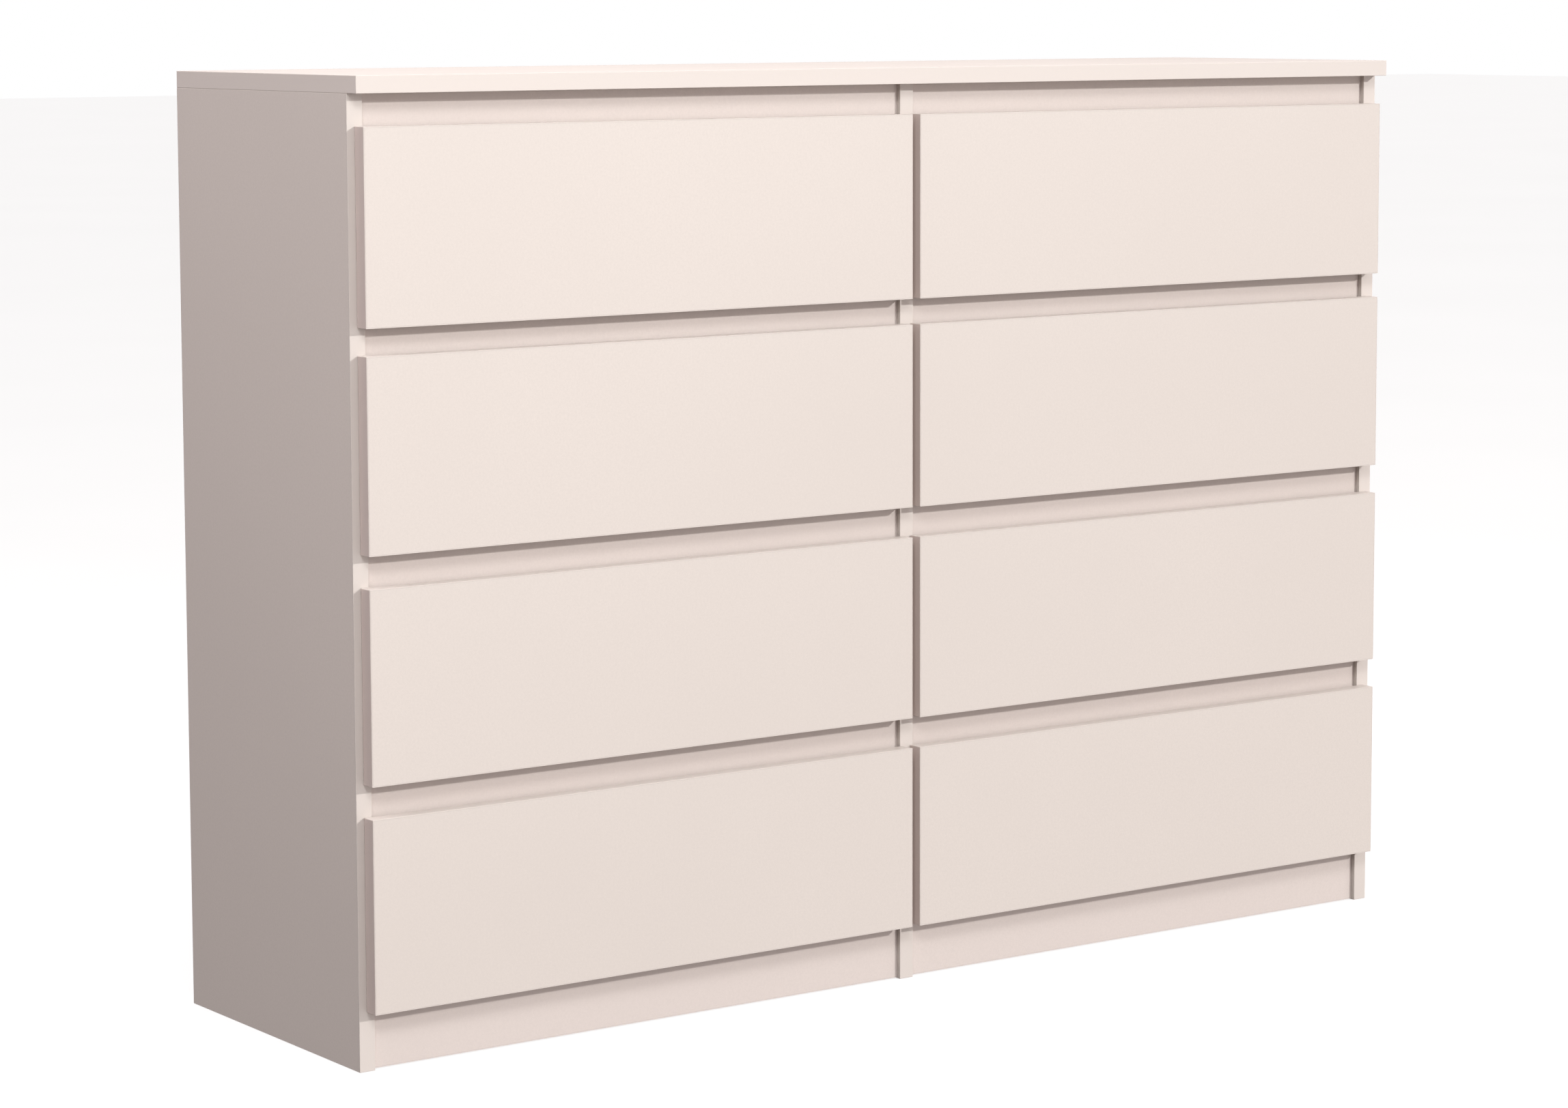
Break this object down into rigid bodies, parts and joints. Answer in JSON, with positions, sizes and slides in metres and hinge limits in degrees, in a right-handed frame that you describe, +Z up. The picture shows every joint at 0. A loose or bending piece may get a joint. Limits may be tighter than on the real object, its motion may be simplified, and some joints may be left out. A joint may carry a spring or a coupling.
{
  "type": "dresser with drawers",
  "caption": "Low wide laminate dresser with handle-less drawers in columns side by side, opened by finger gaps over recessed rails, on roller runners.",
  "frame": {"origin": "on the floor under the middle of the whole object's box", "axes": "+X to the right seen from the front, -Y out of the drawer fronts, +Z up"},
  "size_m": [1.4, 0.3886, 1.016],
  "materials": {
    "laminate": "matt cashmere melamine on chipboard",
    "white_board": "satin white foil on chipboard",
    "hardboard": "hardboard, white lacquer on the inner face and raw brown fibre on the outer face",
    "runner_steel": "silver-grey powder coat",
    "zinc": "bright zinc",
    "nylon": "natural white nylon",
    "beech": "fluted raw beech"
  },
  "bodies": {
    "carcass": {"top_panel": "laminate", "side_panel_left": "laminate", "side_panel_right": "laminate", "centre_partition": "laminate", "bottom_panels": "laminate", "plinths": "laminate", "front_rails": "laminate", "back_panels": "hardboard", "cabinet_runners": "runner_steel", "carcass_screws": "zinc", "beech_dowels": "beech", "cam_fittings": "zinc"},
    "drawer_left_1": {"drawer_left_1_front": "laminate", "drawer_left_1_box": "white_board", "drawer_left_1_bottom": "hardboard", "drawer_left_1_runners": "runner_steel"},
    "drawer_left_1_wheels": {"drawer_left_1_wheels": "nylon"},
    "cabinet_wheels_left_1": {"cabinet_wheels_left_1": "nylon"},
    "drawer_left_2": {"drawer_left_2_front": "laminate", "drawer_left_2_box": "white_board", "drawer_left_2_bottom": "hardboard", "drawer_left_2_runners": "runner_steel"},
    "drawer_left_2_wheels": {"drawer_left_2_wheels": "nylon"},
    "cabinet_wheels_left_2": {"cabinet_wheels_left_2": "nylon"},
    "drawer_left_3": {"drawer_left_3_front": "laminate", "drawer_left_3_box": "white_board", "drawer_left_3_bottom": "hardboard", "drawer_left_3_runners": "runner_steel"},
    "drawer_left_3_wheels": {"drawer_left_3_wheels": "nylon"},
    "cabinet_wheels_left_3": {"cabinet_wheels_left_3": "nylon"},
    "drawer_left_4": {"drawer_left_4_front": "laminate", "drawer_left_4_box": "white_board", "drawer_left_4_bottom": "hardboard", "drawer_left_4_runners": "runner_steel"},
    "drawer_left_4_wheels": {"drawer_left_4_wheels": "nylon"},
    "cabinet_wheels_left_4": {"cabinet_wheels_left_4": "nylon"},
    "drawer_right_1": {"drawer_right_1_front": "laminate", "drawer_right_1_box": "white_board", "drawer_right_1_bottom": "hardboard", "drawer_right_1_runners": "runner_steel"},
    "drawer_right_1_wheels": {"drawer_right_1_wheels": "nylon"},
    "cabinet_wheels_right_1": {"cabinet_wheels_right_1": "nylon"},
    "drawer_right_2": {"drawer_right_2_front": "laminate", "drawer_right_2_box": "white_board", "drawer_right_2_bottom": "hardboard", "drawer_right_2_runners": "runner_steel"},
    "drawer_right_2_wheels": {"drawer_right_2_wheels": "nylon"},
    "cabinet_wheels_right_2": {"cabinet_wheels_right_2": "nylon"},
    "drawer_right_3": {"drawer_right_3_front": "laminate", "drawer_right_3_box": "white_board", "drawer_right_3_bottom": "hardboard", "drawer_right_3_runners": "runner_steel"},
    "drawer_right_3_wheels": {"drawer_right_3_wheels": "nylon"},
    "cabinet_wheels_right_3": {"cabinet_wheels_right_3": "nylon"},
    "drawer_right_4": {"drawer_right_4_front": "laminate", "drawer_right_4_box": "white_board", "drawer_right_4_bottom": "hardboard", "drawer_right_4_runners": "runner_steel"},
    "drawer_right_4_wheels": {"drawer_right_4_wheels": "nylon"},
    "cabinet_wheels_right_4": {"cabinet_wheels_right_4": "nylon"}
  },
  "joints": [
    {"name": "drawer_left_1_slide", "type": "slide", "parent": "carcass", "child": "drawer_left_1", "axis": [0, -1, 0], "range_m": [0, 0.26]},
    {"name": "drawer_left_1_wheels_spin", "type": "hinge", "parent": "drawer_left_1", "child": "drawer_left_1_wheels", "pos_m": [-0.3455, 0.16675, 0.79825], "axis": [1, 0, 0], "continuous": true},
    {"name": "cabinet_wheels_left_1_spin", "type": "hinge", "parent": "carcass", "child": "cabinet_wheels_left_1", "pos_m": [-0.3455, -0.15675, 0.80145], "axis": [1, 0, 0], "continuous": true},
    {"name": "drawer_left_2_slide", "type": "slide", "parent": "carcass", "child": "drawer_left_2", "axis": [0, -1, 0], "range_m": [0, 0.26]},
    {"name": "drawer_left_2_wheels_spin", "type": "hinge", "parent": "drawer_left_2", "child": "drawer_left_2_wheels", "pos_m": [-0.3455, 0.16675, 0.56825], "axis": [1, 0, 0], "continuous": true},
    {"name": "cabinet_wheels_left_2_spin", "type": "hinge", "parent": "carcass", "child": "cabinet_wheels_left_2", "pos_m": [-0.3455, -0.15675, 0.57145], "axis": [1, 0, 0], "continuous": true},
    {"name": "drawer_left_3_slide", "type": "slide", "parent": "carcass", "child": "drawer_left_3", "axis": [0, -1, 0], "range_m": [0, 0.26]},
    {"name": "drawer_left_3_wheels_spin", "type": "hinge", "parent": "drawer_left_3", "child": "drawer_left_3_wheels", "pos_m": [-0.3455, 0.16675, 0.33275], "axis": [1, 0, 0], "continuous": true},
    {"name": "cabinet_wheels_left_3_spin", "type": "hinge", "parent": "carcass", "child": "cabinet_wheels_left_3", "pos_m": [-0.3455, -0.15675, 0.33595], "axis": [1, 0, 0], "continuous": true},
    {"name": "drawer_left_4_slide", "type": "slide", "parent": "carcass", "child": "drawer_left_4", "axis": [0, -1, 0], "range_m": [0, 0.26]},
    {"name": "drawer_left_4_wheels_spin", "type": "hinge", "parent": "drawer_left_4", "child": "drawer_left_4_wheels", "pos_m": [-0.3455, 0.16675, 0.09725], "axis": [1, 0, 0], "continuous": true},
    {"name": "cabinet_wheels_left_4_spin", "type": "hinge", "parent": "carcass", "child": "cabinet_wheels_left_4", "pos_m": [-0.3455, -0.15675, 0.10045], "axis": [1, 0, 0], "continuous": true},
    {"name": "drawer_right_1_slide", "type": "slide", "parent": "carcass", "child": "drawer_right_1", "axis": [0, -1, 0], "range_m": [0, 0.26]},
    {"name": "drawer_right_1_wheels_spin", "type": "hinge", "parent": "drawer_right_1", "child": "drawer_right_1_wheels", "pos_m": [0.3455, 0.16675, 0.79825], "axis": [1, 0, 0], "continuous": true},
    {"name": "cabinet_wheels_right_1_spin", "type": "hinge", "parent": "carcass", "child": "cabinet_wheels_right_1", "pos_m": [0.3455, -0.15675, 0.80145], "axis": [1, 0, 0], "continuous": true},
    {"name": "drawer_right_2_slide", "type": "slide", "parent": "carcass", "child": "drawer_right_2", "axis": [0, -1, 0], "range_m": [0, 0.26]},
    {"name": "drawer_right_2_wheels_spin", "type": "hinge", "parent": "drawer_right_2", "child": "drawer_right_2_wheels", "pos_m": [0.3455, 0.16675, 0.56825], "axis": [1, 0, 0], "continuous": true},
    {"name": "cabinet_wheels_right_2_spin", "type": "hinge", "parent": "carcass", "child": "cabinet_wheels_right_2", "pos_m": [0.3455, -0.15675, 0.57145], "axis": [1, 0, 0], "continuous": true},
    {"name": "drawer_right_3_slide", "type": "slide", "parent": "carcass", "child": "drawer_right_3", "axis": [0, -1, 0], "range_m": [0, 0.26]},
    {"name": "drawer_right_3_wheels_spin", "type": "hinge", "parent": "drawer_right_3", "child": "drawer_right_3_wheels", "pos_m": [0.3455, 0.16675, 0.33275], "axis": [1, 0, 0], "continuous": true},
    {"name": "cabinet_wheels_right_3_spin", "type": "hinge", "parent": "carcass", "child": "cabinet_wheels_right_3", "pos_m": [0.3455, -0.15675, 0.33595], "axis": [1, 0, 0], "continuous": true},
    {"name": "drawer_right_4_slide", "type": "slide", "parent": "carcass", "child": "drawer_right_4", "axis": [0, -1, 0], "range_m": [0, 0.26]},
    {"name": "drawer_right_4_wheels_spin", "type": "hinge", "parent": "drawer_right_4", "child": "drawer_right_4_wheels", "pos_m": [0.3455, 0.16675, 0.09725], "axis": [1, 0, 0], "continuous": true},
    {"name": "cabinet_wheels_right_4_spin", "type": "hinge", "parent": "carcass", "child": "cabinet_wheels_right_4", "pos_m": [0.3455, -0.15675, 0.10045], "axis": [1, 0, 0], "continuous": true}
  ],
  "couplings": [
    {"joint": "drawer_left_1_wheels_spin", "follows": "drawer_left_1_slide", "rad_per_m": 111.11},
    {"joint": "cabinet_wheels_left_1_spin", "follows": "drawer_left_1_slide", "rad_per_m": 111.11},
    {"joint": "drawer_left_2_wheels_spin", "follows": "drawer_left_2_slide", "rad_per_m": 111.11},
    {"joint": "cabinet_wheels_left_2_spin", "follows": "drawer_left_2_slide", "rad_per_m": 111.11},
    {"joint": "drawer_left_3_wheels_spin", "follows": "drawer_left_3_slide", "rad_per_m": 111.11},
    {"joint": "cabinet_wheels_left_3_spin", "follows": "drawer_left_3_slide", "rad_per_m": 111.11},
    {"joint": "drawer_left_4_wheels_spin", "follows": "drawer_left_4_slide", "rad_per_m": 111.11},
    {"joint": "cabinet_wheels_left_4_spin", "follows": "drawer_left_4_slide", "rad_per_m": 111.11},
    {"joint": "drawer_right_1_wheels_spin", "follows": "drawer_right_1_slide", "rad_per_m": 111.11},
    {"joint": "cabinet_wheels_right_1_spin", "follows": "drawer_right_1_slide", "rad_per_m": 111.11},
    {"joint": "drawer_right_2_wheels_spin", "follows": "drawer_right_2_slide", "rad_per_m": 111.11},
    {"joint": "cabinet_wheels_right_2_spin", "follows": "drawer_right_2_slide", "rad_per_m": 111.11},
    {"joint": "drawer_right_3_wheels_spin", "follows": "drawer_right_3_slide", "rad_per_m": 111.11},
    {"joint": "cabinet_wheels_right_3_spin", "follows": "drawer_right_3_slide", "rad_per_m": 111.11},
    {"joint": "drawer_right_4_wheels_spin", "follows": "drawer_right_4_slide", "rad_per_m": 111.11},
    {"joint": "cabinet_wheels_right_4_spin", "follows": "drawer_right_4_slide", "rad_per_m": 111.11}
  ]
}
